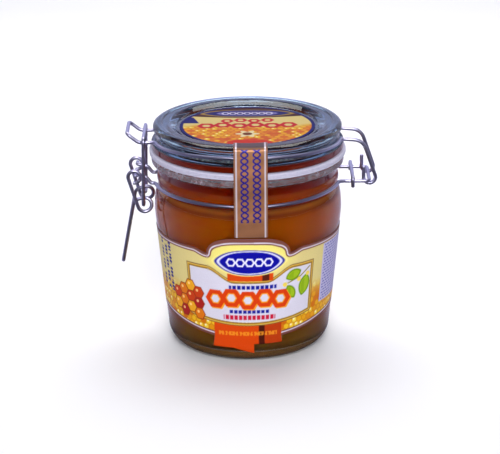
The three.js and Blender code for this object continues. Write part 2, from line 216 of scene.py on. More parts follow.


# Soda-lime glass, pressed and blown in moulds: clear with a faint cool cast and a soft waviness, and specked
# with frost round the mould's seam; the jar's frost is tinted pink, a painted refraction of the gasket and
# the
# honey behind it. Below a given height the upright faces are only partly clear and carry a painted
# refraction:
# a colour that stands for the honey's, which the lid's plug and ledge and the thick foot bend towards the eye
def mouldedGlass(look, speck=1.7, fade=0.3, tintSpan=120):
    material, tree, shader, place = startMaterial(look["name"], {"IOR": 1.52})
    here, times = {"Vector": (place, "Object")}, {"operation": "MULTIPLY"}
    split = addNode(tree, "SeparateXYZ", links=here)
    height = {"Value": (split, "Z")}
    waves = addNode(tree, "TexNoise", {"Scale": grainScale(look["waveLength"]), "Detail": 1.5}, here)
    specks = addNode(tree, "TexNoise", {"Scale": grainScale(speck), "Detail": 3.0}, here)
    patches = addNode(tree, "MapRange", {
        "From Min": 0.35, "From Max": 0.62, "To Min": 0.35}, {"Value": (waves, "Fac")})
    uneven = addNode(tree, "MapRange", {
        "From Min": 0.38, "From Max": 0.68, "To Min": 0.3}, {"Value": (specks, "Fac")})
    low, high = look["frost"]
    rise = addNode(tree, "MapRange", {
        "From Min": (low - fade) * toMetres, "From Max": low * toMetres}, height)
    fall = addNode(tree, "MapRange", {
        "From Min": (high + fade) * toMetres, "From Max": high * toMetres}, height)
    band = addNode(tree, "Math", times, {0: (rise, "Result"), 1: (fall, "Result")})
    rough = addNode(tree, "Math", times, {0: (patches, "Result"), 1: (uneven, "Result")})
    grain = addNode(tree, "Math", times, {0: (band, "Value"), 1: (rough, "Value")})

    # the painted refraction lies on faces that are not level
    top = look["paintedViewHeight"]
    facing = addNode(tree, "SeparateXYZ", links={"Vector": (place, "Normal")})
    level = addNode(tree, "Math", {"operation": "ABSOLUTE"}, {0: (facing, "Z")})
    upright = addNode(tree, "MapRange", {"From Min": 0.95, "From Max": 0.75}, {"Value": (level, "Value")})
    below = addNode(tree, "MapRange", {
        "From Min": (top + 0.5) * toMetres, "From Max": top * toMetres}, height)
    paintedViewShare = addNode(tree, "Math", times, {0: (upright, "Result"), 1: (below, "Result")})

    tints = [(tintHeight / tintSpan, colour) for tintHeight, colour in look["tints"]]
    share = addNode(tree, "MapRange", {"From Max": tintSpan * toMetres}, height)
    tint = addNode(tree, "ValToRGB", links={"Fac": (share, "Result")}, stops=tints)
    frost = {"data_type": "RGBA", 7: linear(look["frostTint"])}
    frosted = addNode(tree, "Mix", frost, {0: (grain, "Value"), 6: (tint, "Color")})
    paintedView = {"data_type": "RGBA", 7: linear(look["paintedViewColour"])}
    tone = addNode(tree, "Mix", paintedView, {0: (paintedViewShare, "Value"), 6: (frosted, 2)})
    gloss = addNode(tree, "MapRange", {"To Min": 0.012, "To Max": 0.4}, {"Value": (grain, "Value")})
    unfrosted = addNode(tree, "MapRange", {"To Min": 1.0, "To Max": 0.45}, {"Value": (grain, "Value")})
    paintedViewClearness = addNode(tree, "MapRange", {
        "To Min": 1.0, "To Max": look["paintedViewClear"]}, {"Value": (paintedViewShare, "Value")})
    clear = addNode(tree, "Math", times, {0: (unfrosted, "Result"), 1: (paintedViewClearness, "Result")})
    relief = addNode(tree, "Math", {
        "operation": "MULTIPLY_ADD", 1: 1.5}, {0: (grain, "Value"), 2: (waves, "Fac")})
    bump = addNode(tree, "Bump", {"Distance": look["waviness"] * toMetres}, {"Height": (relief, "Value")})
    feed(tree, shader, {
        "Base Color": (tone, 2),
        "Roughness": (gloss, "Result"),
        "Transmission Weight": (clear, "Value"),
        "Normal": (bump, "Normal"),
    })
    return material


# tones by height, as a share of the span; the stops from 0.76 to 0.79 are painted shadow lines either side of
# a painted highlight line under the neck wire, and the stops from 0.872 up are a painted shade in the neck
honeyLook = {
    "span": 100, "cloudSize": 22,
    "tones": (
        (0.05, "#8a6430"), (0.13, "#a06a22"), (0.22, "#c65c04"), (0.74, "#d06607"), (0.76, "#a04406"),
        (0.775, "#d8781c"), (0.79, "#8a2c04"), (0.81, "#c45404"), (0.85, "#c04c04"), (0.872, "#a42a04"),
        (0.92, "#982404")),
}


# Dark forest honey: clear but deep, so the eye gets a warm orange brown that glows under the surface, and
# olive low down by the glass floor; the neck is painted darker and redder, a painted shade where the lid's
# shadow falls, and under the neck wire painted shadow lines lie either side of a painted highlight line
def darkHoney():
    material, tree, shader, place = startMaterial("darkHoney", {
        "Roughness": 0.35,
        "Specular IOR Level": 0.0,
        "Subsurface Weight": 0.5,
        "Subsurface Radius": (1.0, 0.35, 0.08),
        "Subsurface Scale": 5 * toMetres,
    })
    here = {"Vector": (place, "Object")}
    split = addNode(tree, "SeparateXYZ", links=here)
    share = addNode(tree, "MapRange", {"From Max": honeyLook["span"] * toMetres}, {"Value": (split, "Z")})
    tone = addNode(tree, "ValToRGB", links={"Fac": (share, "Result")}, stops=honeyLook["tones"])
    cloud = addNode(tree, "TexNoise", {"Scale": grainScale(honeyLook["cloudSize"]), "Detail": 2.0}, here)
    level = addNode(tree, "MapRange", {"To Min": 0.86, "To Max": 1.14}, {"Value": (cloud, "Fac")})
    mixed = addNode(tree, "VectorMath", {"operation": "SCALE"}, {
        0: (tone, "Color"), "Scale": (level, "Result")})
    feed(tree, shader, {"Base Color": (mixed, "Vector")})
    return material


# White natural rubber, moulded: a dull soft white with a fine grain; its faint cool cast is a painted
# lavender tint that stands for the studio light's
def whiteRubber():
    material, tree, shader, place = startMaterial("whiteRubber", {
        "Roughness": 0.42,
        "Subsurface Weight": 0.2,
        "Subsurface Radius": (1.0, 0.9, 0.85),
        "Subsurface Scale": 1.5 * toMetres,
    })
    grain = addNode(tree, "TexNoise", {
        "Scale": grainScale(1.2), "Detail": 3.0}, {"Vector": (place, "Object")})
    tone = addNode(tree, "ValToRGB", links={"Fac": (grain, "Fac")}, stops=((0, "#bcb8d0"), (1, "#d8d5e6")))
    bump = addNode(tree, "Bump", {"Distance": 0.02 * toMetres}, {"Height": (grain, "Fac")})
    feed(tree, shader, {"Base Color": (tone, "Color"), "Normal": (bump, "Normal")})
    return material


# Steel wire, drawn and zinc plated: a satin cool grey that spreads a highlight over half its width; its cool
# lavender tint is painted, standing for the studio light's cast in its reflections
def zincWire():
    material, tree, shader, place = startMaterial("zincWire", {
        "Metallic": 1.0,
        "Base Color": linear("#b8b4d2"),
    })
    plating = addNode(tree, "TexNoise", {
        "Scale": grainScale(1.5), "Detail": 3.0}, {"Vector": (place, "Object")})
    gloss = addNode(tree, "MapRange", {"To Min": 0.28, "To Max": 0.42}, {"Value": (plating, "Fac")})
    bump = addNode(tree, "Bump", {"Distance": 0.03 * toMetres}, {"Height": (plating, "Fac")})
    feed(tree, shader, {"Roughness": (gloss, "Result"), "Normal": (bump, "Normal")})
    return material


# Coated paper printed in offset: its inks are in the mesh's colour attribute, under a thin even gloss
def printedPaper(name, roughness, shine, metallic=0.0):
    material, tree, shader, place = startMaterial(name, {
        "Roughness": roughness,
        "Metallic": metallic,
        "Specular IOR Level": shine,
    })
    inks = addNode(tree, "VertexColor", {"layer_name": "inks"})
    grain = addNode(tree, "TexNoise", {
        "Scale": grainScale(0.5), "Detail": 2.0}, {"Vector": (place, "Object")})
    level = addNode(tree, "MapRange", {"To Min": 0.9, "To Max": 1.06}, {"Value": (grain, "Fac")})
    mixed = addNode(tree, "VectorMath", {"operation": "SCALE"}, {
        0: (inks, "Color"), "Scale": (level, "Result")})
    bump = addNode(tree, "Bump", {"Distance": 0.01 * toMetres}, {"Height": (grain, "Fac")})
    feed(tree, shader, {"Base Color": (mixed, "Vector"), "Normal": (bump, "Normal")})
    return material


jarMaterial = mouldedGlass(jarGlassLook)
lidMaterial = mouldedGlass(lidGlassLook)
honeyMaterial = darkHoney()
rubberMaterial = whiteRubber()
wireMaterial = zincWire()
paperMaterial = printedPaper("coatedLabelPaper", 0.38, 0.1)
lidPaperMaterial = printedPaper("coatedLidPaper", 0.4, 0.06)
stripMaterial = printedPaper("copperStripPaper", 0.36, 0.25, 0.25)
print("materials made")

# The jar: glass wall, honey and rubber ring

jarSizes = {
    "wallLow": 40.2, "wallHigh": 46.0, "wallTop": 68.0, "footCorner": 9.4, "glass": 3.3, "floor": 5.0,
    "insideCorner": 6.0, "groove": 43.9, "bead": 44.5, "neck": 43.5, "flange": 47.0, "flangeTop": 96.1,
    "neckBore": 39.2, "honeyLevel": 92.5, "overlap": 0.2,
}


# outer radius of the straight tapered wall at a height
def wallRadius(height):
    rise = (height - jarSizes["footCorner"]) / (jarSizes["wallTop"] - jarSizes["footCorner"])
    return jarSizes["wallLow"] + (jarSizes["wallHigh"] - jarSizes["wallLow"]) * np.clip(rise, 0, 1)


# points of an arc in a half-section, between two angles in degrees
def arc(centre, radius, fromAngle, toAngle, steps=14):
    angle = np.radians(np.linspace(fromAngle, toAngle, steps))
    return np.stack([centre[0] + radius * np.cos(angle), centre[1] + radius * np.sin(angle)], 1)


# a parabola between two points, bending towards the corner between them
def smoothStretch(start, corner, end, steps=16):
    t = np.linspace(0, 1, steps)[:, None]
    return (1 - t) ** 2 * np.array(start) + 2 * t * (1 - t) * np.array(corner) + t ** 2 * np.array(end)


# the half-section runs from the axis underneath, up the outside and down the inside; its corners are radius
# and height, and then come the reaches of their bends
def jarSection():
    s = jarSizes
    groove, bead, neck, flange, bore, top = (
        s[key] for key in ("groove", "bead", "neck", "flange", "neckBore", "flangeTop"))
    under = rounded([(0, 1.2), (21, 1.2), (24, 0), (26, 0)], [0, 1.2, 0.8, 0])
    foot = arc((s["wallLow"] - s["footCorner"], s["footCorner"]), s["footCorner"], -90, 0)
    shoulder = smoothStretch((s["wallHigh"], s["wallTop"]), (s["wallHigh"], 78), (groove, 80.6))
    inner = s["wallHigh"] - s["glass"]
    mouth = rounded(
        [(groove, 81.5), (groove, 83.2), (bead, 84), (bead, 85.6), (neck, 87), (neck, 90.8),
         (flange - 0.7, 92.2), (flange, 92.9), (flange, top - 0.7), (flange - 0.7, top),
         (bore + 0.7, top), (bore, top - 0.7), (bore, 79), (inner, 72), (inner, 70)],
        [0, 0.4, 0.3, 0.6, 0.6, 1.2, 0.4, 0.3, 0.3, 0.3, 0.3, 0.3, 2.5, 2.5, 0])
    wallTop = [(inner, s["wallTop"])]
    cornerTop = s["floor"] + s["insideCorner"]
    cornerMiddle = wallRadius(cornerTop) - s["glass"] - s["insideCorner"]
    inside = arc((cornerMiddle, cornerTop), s["insideCorner"], 0, -90)
    return np.vstack([under, foot, shoulder, mouth, wallTop, inside, [(0, s["floor"])]])


# the honey reaches just into the glass, so that no air shows between them, and creeps up the wall a little
def honeySection():
    s = jarSizes
    reach, level = s["overlap"], s["honeyLevel"]
    cornerTop = s["floor"] + s["insideCorner"]
    cornerMiddle = wallRadius(cornerTop) - s["glass"] - s["insideCorner"]
    corner = arc((cornerMiddle, cornerTop), s["insideCorner"] + reach, -90, 0)
    side = s["wallHigh"] - s["glass"] + reach
    neck = s["neckBore"] + reach
    wall = rounded(
        [(side, 66), (side, 72), (neck, 79), (neck, level + 0.5), (neck - 1, level + 0.15),
         (neck - 3, level)],
        [0, 2.5, 2.5, 0, 0.6, 0])
    return np.vstack([[(0, s["floor"] - reach)], corner, wall, [(0, level)]])


def makeJar():
    finishPiece(turnedPiece("jarGlass", jarSection()), jarMaterial, "jar", ["jar_glass"])
    finishPiece(turnedPiece("honeyFill", honeySection(), 192), honeyMaterial, "jar", ["honey"])


gasketSizes = {"inner": 40.5, "outer": 48.0, "bottom": 96.15, "top": 99.35, "edge": 1.3, "groove": 0.15}


# a flat moulded ring with rounded edges and a shallow groove on its outer face
def makeGasket():
    s = gasketSizes
    inner, outer, bottom, top = s["inner"], s["outer"], s["bottom"], s["top"]
    middle = (bottom + top) / 2
    section = rounded(
        [(inner, middle), (inner, bottom), (outer, bottom), (outer, middle - 0.3),
         (outer - s["groove"], middle), (outer, middle + 0.3), (outer, top), (inner, top)],
        [0, 0.5, s["edge"], 0.1, 0.1, 0.1, s["edge"], 0.5])
    finishPiece(turnedPiece("rubberRing", section), rubberMaterial, "jar", ["gasket"])


lidSizes = {
    "hollow": 34.0, "hollowTop": 103.7, "plug": 38.6, "plugBottom": 94.4, "ledge": 46.9, "ledgeBottom": 99.5,
    "ledgeTop": 103.1, "groove": 44.9, "grooveTop": 107.7, "rim": 46.0, "top": 111.8,
    "step": 111.4, "well": 34.4, "wellFloor": 109.05,
}


# the half-section runs from the axis underneath, out over the ledge and the rim, and back in to the well
def makeLid():
    s = lidSizes
    hollow = [(0, s["hollowTop"]), (s["hollow"] - 4, s["hollowTop"]), (s["hollow"], s["plugBottom"])]
    plug = [(s["plug"], s["plugBottom"]), (s["plug"], s["ledgeBottom"])]
    ledge = [(s["ledge"], s["ledgeBottom"]), (s["ledge"], s["ledgeTop"]), (s["groove"], s["ledgeTop"])]
    rim = [(s["groove"], s["grooveTop"]), (s["rim"], s["grooveTop"] + 1), (s["rim"], s["top"] - 1.2),
           (s["rim"] - 1.7, s["top"])]
    step = [(41.9, s["top"]), (41.3, s["step"]), (38.3, s["step"])]
    well = [(s["well"] + 0.7, s["wellFloor"] + 0.7), (s["well"], s["wellFloor"]), (0, s["wellFloor"])]
    section = rounded(
        hollow + plug + ledge + rim + step + well,
        [0, 3, 1.2, 0.8, 0.5, 0.6, 0.8, 0.3, 0.4, 0.5, 0.7, 0.9, 0.3, 0.3, 0.9, 0.4, 0.3, 0])
    finishPiece(turnedPiece("lidGlass", section), lidMaterial, "jar", ["lid_glass"])


makeJar()
makeGasket()
makeLid()

# The wire fittings

wireSizes = {"diameter": 1.8, "softBend": 2.4, "tightBend": 0.9, "ringRunOut": 7.0}


# points of a ring seen from above, anticlockwise from +X, at a height that follows the angle
def ringRun(radius, fromAngle, toAngle, heightAt, steps=90):
    angle = np.radians(np.linspace(fromAngle, toAngle, steps))
    return np.stack([radius * np.cos(angle), radius * np.sin(angle), heightAt(angle)], 1)


# a turn of wire seen from the front, drifting in Y like a spring's
def loopTurn(centre, radius, fromAngle, toAngle, fromY, toY, steps=40):
    angle = np.radians(np.linspace(fromAngle, toAngle, steps))
    drift = np.linspace(fromY, toY, steps)
    return np.stack([centre[0] + radius * np.cos(angle), drift, centre[1] + radius * np.sin(angle)], 1)


# where a leg at a given Y meets a ring: its angle from the X axis, and its X
def meeting(radius, legY):
    return math.degrees(math.asin(legY / radius)), math.sqrt(radius ** 2 - legY ** 2)


# the near half of a wire is given, and the far half mirrors it across Y = 0
def makeWire(name, near, body, node):
    path = refined(np.vstack([near, near[::-1] * (1, -1, 1)]), 1.2)
    finishPiece(wirePiece(name, path, wireSizes["diameter"]), wireMaterial, body, [node])


# places of bends are X and Z; every Y is how far that leg is from the middle
lidWireSizes = {
    "ring": 46.1, "front": 106.8, "side": 104.3, "noseY": 10.6, "noseFoot": (-52.4, 103.95),
    "noseTip": (-58.2, 108.6), "legY": 9.2, "legRise": 0.6, "legBend": (55.9, 104.1), "legBendReach": 4.6,
    "hook": (59.3, 85.3), "hookRadius": 2.9, "hookEnd": 91.2,
}


# hook, hinge leg, half the ring and half the nose; the ring rises towards the front with the squared sine
def makeLidWire():
    s, soft, runOut = lidWireSizes, wireSizes["softBend"], wireSizes["ringRunOut"]
    (hookX, hookZ), (bendX, bendZ), hookRadius = s["hook"], s["legBend"], s["hookRadius"]
    legY, noseY, side = s["legY"], s["noseY"], s["side"]
    legAngle, legX = meeting(s["ring"], legY)
    noseAngle, noseX = meeting(s["ring"], noseY)
    lean = math.degrees(math.atan2(hookX + hookRadius - bendX, bendZ - hookZ))
    hook = loopTurn(s["hook"], hookRadius, 180, 360 + lean, -legY, -legY)
    ring = ringRun(
        s["ring"], -legAngle - runOut, -180 + noseAngle + runOut,
        lambda angle: side + (s["front"] - side) * np.sin(angle) ** 2)
    legs = [hook[-1], (bendX, -legY, bendZ), (legX, -legY, side + s["legRise"])]
    (footX, footZ), (tipX, tipZ) = s["noseFoot"], s["noseTip"]
    nose = [(-noseX, -noseY, side), (footX, -noseY, footZ), (tipX, -noseY, tipZ), (tipX, -0.01, tipZ)]
    reaches = [0, s["legBendReach"], soft] + [0] * len(ring) + [soft, soft, soft, 0]
    run = rounded(np.vstack([legs, ring, nose]), reaches)
    start = [(hookX - hookRadius, -legY, s["hookEnd"])]
    makeWire("lidWire", np.vstack([start, hook, run[1:]]), "jar", "lid_wire")


neckWireSizes = {
    "ring": 45.8, "front": 82.7, "pin": (-54.6, 87.3), "pinY": 8.6, "pinEndY": 12.1, "pinKnee": (-49.4, 86),
    "pinFoot": -47.2, "pinFootRise": 0.3, "loopX": 59.2, "loopY": 11.5, "loopHeight": 84.2,
}


# pin, half the ring and half the hinge loop; the ring rises to either side with the squared cosine
def makeNeckWire():
    s, soft, tight = neckWireSizes, wireSizes["softBend"], wireSizes["tightBend"]
    pinY, loopY, loopZ, front = s["pinY"], s["loopY"], s["loopHeight"], s["front"]
    footHeight, endHeight = front + s["pinFootRise"], loopZ - 0.3

    def heightAt(angle):
        side = np.where(np.cos(angle) > 0, endHeight, footHeight)
        return front + (side - front) * np.cos(angle) ** 2

    pinAngle, pinX = meeting(s["ring"], pinY)
    loopAngle, loopX = meeting(s["ring"], loopY)
    ring = ringRun(s["ring"], 180 + pinAngle + 3, 360 - loopAngle - wireSizes["ringRunOut"], heightAt)
    (pinEndX, pinEndZ), (kneeX, kneeZ) = s["pin"], s["pinKnee"]
    pins = [(pinEndX, -s["pinEndY"], pinEndZ), (pinEndX, -pinY, pinEndZ), (kneeX, -pinY, kneeZ),
            (s["pinFoot"], -pinY, footHeight), (-pinX - 0.3, -pinY, footHeight)]
    loop = [(loopX, -loopY, loopZ), (s["loopX"], -loopY, loopZ), (s["loopX"], -0.01, loopZ)]
    reaches = [0, tight, tight, tight, tight] + [0] * len(ring) + [soft, soft, 0]
    makeWire("neckWire", rounded(np.vstack([pins, ring, loop]), reaches), "jar", "neck_wire")


tieSizes = {"x": 51.0, "endY": 13.8, "endDrop": 4.6, "clearance": 0.3}


# lies across the hinge loop, a wire's thickness above it, with both ends turned down
def makeHingeTie():
    x, endY = tieSizes["x"], tieSizes["endY"]
    height = neckWireSizes["loopHeight"] + wireSizes["diameter"] + tieSizes["clearance"]
    endHeight = height - tieSizes["endDrop"]
    near = rounded([(x, -endY, endHeight), (x, -endY, height), (x, -0.01, height)], [0, 1.2, 0])
    makeWire("hingeTie", near, "jar", "hinge_tie")


leverSizes = {
    "eye": (-55.2, 86.8), "eyeRadius": 3.0, "armY": 10.9, "coil": (-50.4, 72.3), "coilRadius": 3.35,
    "handleY": 8.8, "handleBend": (-55.7, 74.3), "handleEnd": (-61.8, 42.6),
}


# an eye round the pin, an arm that touches eye and coil as a tangent, the coil and half the handle
def makeLever():
    s, soft = leverSizes, wireSizes["softBend"]
    armY, handleY, radius, coilRadius = s["armY"], s["handleY"], s["eyeRadius"], s["coilRadius"]
    armX, armZ = s["coil"][0] - s["eye"][0], s["coil"][1] - s["eye"][1]
    lean = math.atan2(armX, -armZ) - math.asin((coilRadius - radius) / math.hypot(armX, armZ))
    tangent = 180 + math.degrees(lean)
    eye = loopTurn(s["eye"], radius, tangent - 300, tangent, -armY, -armY)
    coil = loopTurn(s["coil"], coilRadius, tangent, tangent + 262, -armY, -handleY)
    (bendX, bendZ), (endX, endZ) = s["handleBend"], s["handleEnd"]
    handle = rounded(
        [coil[-1], (bendX, -handleY, bendZ), (endX, -handleY, endZ), (endX, -0.01, endZ)], [0, soft, soft, 0])
    makeWire("leverWire", np.vstack([eye, coil, handle[1:]]), "lever", "lever")


claspSizes = {"foot": (-50.9, 73.2), "footY": 7.6, "legY": 13.5, "top": (-50.2, 106.65)}


# half a stirrup: a foot in the lever's coil, a leg and half the bar over the nose
def makeClasp():
    s, soft = claspSizes, wireSizes["softBend"]
    (footX, footZ), (topX, topZ), legY = s["foot"], s["top"], s["legY"]
    near = rounded(
        [(footX, -s["footY"], footZ), (footX, -legY, footZ), (topX, -legY, topZ), (topX, -0.01, topZ)],
        [0, soft / 2, soft, 0])
    makeWire("claspWire", near, "clasp", "clasp")


makeLidWire()
makeNeckWire()
makeHingeTie()
makeLever()
makeClasp()

# Printing: a shape is a signed distance in millimetres, below zero inside


# inks between stops of a value, blended evenly from each to the next
def blendInks(value, stops, colours):
    tones = np.stack([ink(colour) for colour in colours])
    return np.stack([np.interp(value, stops, tones[:, k]) for k in range(3)], -1)


# lays one ink over a picture wherever the distance is below zero, with a soft printed edge
def lay(picture, distance, colour, strength=1.0, edge=0.28):
    share = np.clip(0.5 - distance / edge, 0, 1)[..., None] * strength
    return picture * (1 - share) + ink(colour) * share


# lays several inks over each other, each reaching as far out from the shape as told
def layBands(picture, distance, bands):
    for outset, colour in bands:
        picture = lay(picture, distance - outset, colour)
    return picture


# distance to a box about a centre, by its half sizes
def boxShape(x, y, centre, half):
    return np.maximum(np.abs(x - centre[0]) - half[0], np.abs(y - centre[1]) - half[1])


# distance to a hexagon with points left and right, by its inner radius and sideways stretch
def hexagon(x, y, centre, radius, stretch=1.0):
    across, up = np.abs(x - centre[0]) / stretch, np.abs(y - centre[1])
    return np.maximum(up, across * 0.866 + up * 0.5) - radius


# the same with rounded corners: a high power mean stands in for the larger of two
def roundHexagon(x, y, centre, radius, stretch):
    across, up = np.abs(x - centre[0]) / stretch, np.hypot(y - centre[1], radius * 0.26)
    return (up ** 5 + (across * 0.866 + up * 0.5) ** 5) ** 0.2 - radius


# a row of outlined cells about a centre, with lines twice as wide as half
def layCells(picture, x, y, centre, count, pitch, radius, half, colour):
    for k in range(count):
        cell = hexagon(x, y, (centre[0] + (k - count // 2) * pitch, centre[1]), radius)
        picture = lay(picture, np.abs(cell) - half, colour)
    return picture


# distance to a leaf: two circles meeting in points, with its length along a direction in degrees
def leaf(x, y, centre, length, width, direction):
    turn = math.radians(direction)
    along = (x - centre[0]) * math.cos(turn) + (y - centre[1]) * math.sin(turn)
    over = np.abs((y - centre[1]) * math.cos(turn) - (x - centre[0]) * math.sin(turn))
    radius = (length ** 2 + width ** 2) / (4 * width)
    return np.hypot(along, over + radius - width / 2) - radius


# distance to a line through points, as wide as told
def stroke(x, y, line, width):
    line = np.asarray(line, float)
    nearest = np.full(np.shape(x), 1e9)
    for start, end in zip(line[:-1], line[1:]):
        run = end - start
        t = np.clip(((x - start[0]) * run[0] + (y - start[1]) * run[1]) / (run @ run), 0, 1)
        nearest = np.minimum(nearest, np.hypot(x - start[0] - t * run[0], y - start[1] - t * run[1]))
    return nearest - width / 2


# each point's offset from the nearest centre of a honeycomb, and a number from 0 to 1 for that cell
def honeycomb(x, y, pitch):
    rise = pitch * math.sqrt(3)
    best, offset, cell = np.full(np.shape(x), 1e9), (x, y), np.zeros(np.shape(x))
    for shift in (0, 0.5):
        column, row = np.round(x / pitch - shift), np.round(y / rise - shift)
        dx, dy = x - (column + shift) * pitch, y - (row + shift) * rise
        closer = np.hypot(dx, dy) < best
        best = np.where(closer, np.hypot(dx, dy), best)
        offset = (np.where(closer, dx, offset[0]), np.where(closer, dy, offset[1]))
        number = np.sin(column * 12.9898 + row * 78.233 + shift * 37.719) * 43758.5453
        cell = np.where(closer, number - np.floor(number), cell)
    return offset[0], offset[1], cell


# the honeycomb's inks: cells from pale to deep gold, darker walls, and white glints in some
def combInks(x, y, pitch):
    dx, dy, cell = honeycomb(x, y, pitch)
    picture = blendInks(cell, (0, 0.35, 0.7, 1), ("#f2d648", "#eab81c", "#e2980c", "#cc6006"))
    rim = np.maximum(np.abs(dx), np.abs(dx) * 0.5 + np.abs(dy) * 0.866) - pitch / 2
    picture = lay(picture, -(rim + 0.3), "#c87808", 0.75, 0.4)
    glint = np.hypot(dx + pitch * 0.12, dy - pitch * 0.14) - pitch * 0.16
    return lay(picture, np.where(cell < 0.3, glint, 9), "#fffbe8", 0.9, 0.4)


def smooth(value, low, high):
    t = np.clip((value - low) / (high - low), 0, 1)
    return t * t * (3 - 2 * t)


def paintPiece(piece, picture):
    colours = np.ones((len(piece.data.vertices), 4))
    colours[:, :3] = picture.reshape(-1, 3)[-1]
    flat = linear(picture.reshape(-1, 3))
    colours[:len(flat)] = flat
    inks = piece.data.attributes.new("inks", "FLOAT_COLOR", "POINT")
    inks.data.foreach_set("color", colours.ravel().astype(np.float32))


# The front label

labelSizes = {
    "reach": 150.0, "top": 60.2, "dipAngle": 36.0, "notchAngle": 26.4, "notchHeight": 58.2, "archTop": 67.0,
    "squareness": 3.2, "archRise": 0.53, "bottomFront": 13.2, "bottomRise": 7.2,
    "paper": 0.16, "lift": 0.06, "roundMillimetres": 0.777,
    "ribbonLeft": -24.0, "tipStart": -10.3, "tip": 3.3, "ribbonRight": 22.5,
    "lowLeft": 8.8, "lowTip": 5.8, "lowRight": 10.8, "flare": 0.1,
}


# level at the sides, with a dip before the arch; the arch is a superellipse: 1 less a power of the share of
# its half width, to another power
def labelTop(degrees):
    s = labelSizes
    away, notch, notchHeight = np.abs(degrees), s["notchAngle"], s["notchHeight"]
    share = np.clip(away / notch, 0, 1)
    arch = notchHeight + (s["archTop"] - notchHeight) * (1 - share ** s["squareness"]) ** s["archRise"]
    side = s["top"] - (s["top"] - notchHeight) * smooth(-away, -s["dipAngle"], -notch)
    return np.where(away > notch, side, arch)


# the label's own bottom edge, without the printed ribbon that hangs below it
def labelHem(degrees):
    side = np.sin(np.radians(np.minimum(np.abs(degrees), 90)))
    return labelSizes["bottomFront"] + labelSizes["bottomRise"] * side ** 2


def labelBottom(degrees):
    s = labelSizes
    share = np.clip((degrees - s["tipStart"]) / (s["tip"] - s["tipStart"]), 0, 1)
    left = s["lowLeft"] + (s["lowTip"] - s["lowLeft"]) * share
    ribbon = np.where(degrees < s["tip"], left, s["lowRight"])
    inside = (degrees > s["ribbonLeft"]) & (degrees < s["ribbonRight"])
    return np.where(inside, ribbon, labelHem(degrees))


# the wall's radius at a height, and round the foot where the ribbon reaches down
def sheetRadius(height):
    corner = jarSizes["footCorner"]
    drop = np.clip(corner - height, 0, corner)
    return wallRadius(height) - (corner - np.sqrt(corner ** 2 - drop ** 2))


# small print as plain dashes: rows across a box, broken by a wave that differs from row to row
def dashes(x, z, centre, half, pitch, gap):
    row = np.floor(z / pitch)
    thick = np.abs(z / pitch - row - 0.5) * pitch - pitch * 0.24
    broken = np.sin(x * 2.3 + row * 2.7) + 0.6 * np.sin(x * 5.1 + row) - gap
    return np.maximum(np.maximum(boxShape(x, z, centre, half), thick), broken)


# printed frames from the outside in: how far out from the shape each ink reaches
frameInks = ((2.05, "#6f4a22"), (1.65, "#d8b458"), (1.2, "#c2942c"), (0.62, "#6f4a22"), (0.2, "#efe2b0"))
plaqueInks = ((1.25, "#f4e78c"), (0.75, "#2a2a9c"), (0.35, "#dcdcf2"), (-0.2, "#05059c"))
borderInks = ((2.55, "#7a463e"), (1.9, "#dcd6e6"), (1.3, "#7c4a42"))
lidPlaqueInks = ((0.9, "#b0a060"), (0.2, "#10108e"), (-1.2, "#8a90cc"), (-1.7, "#10108e"))


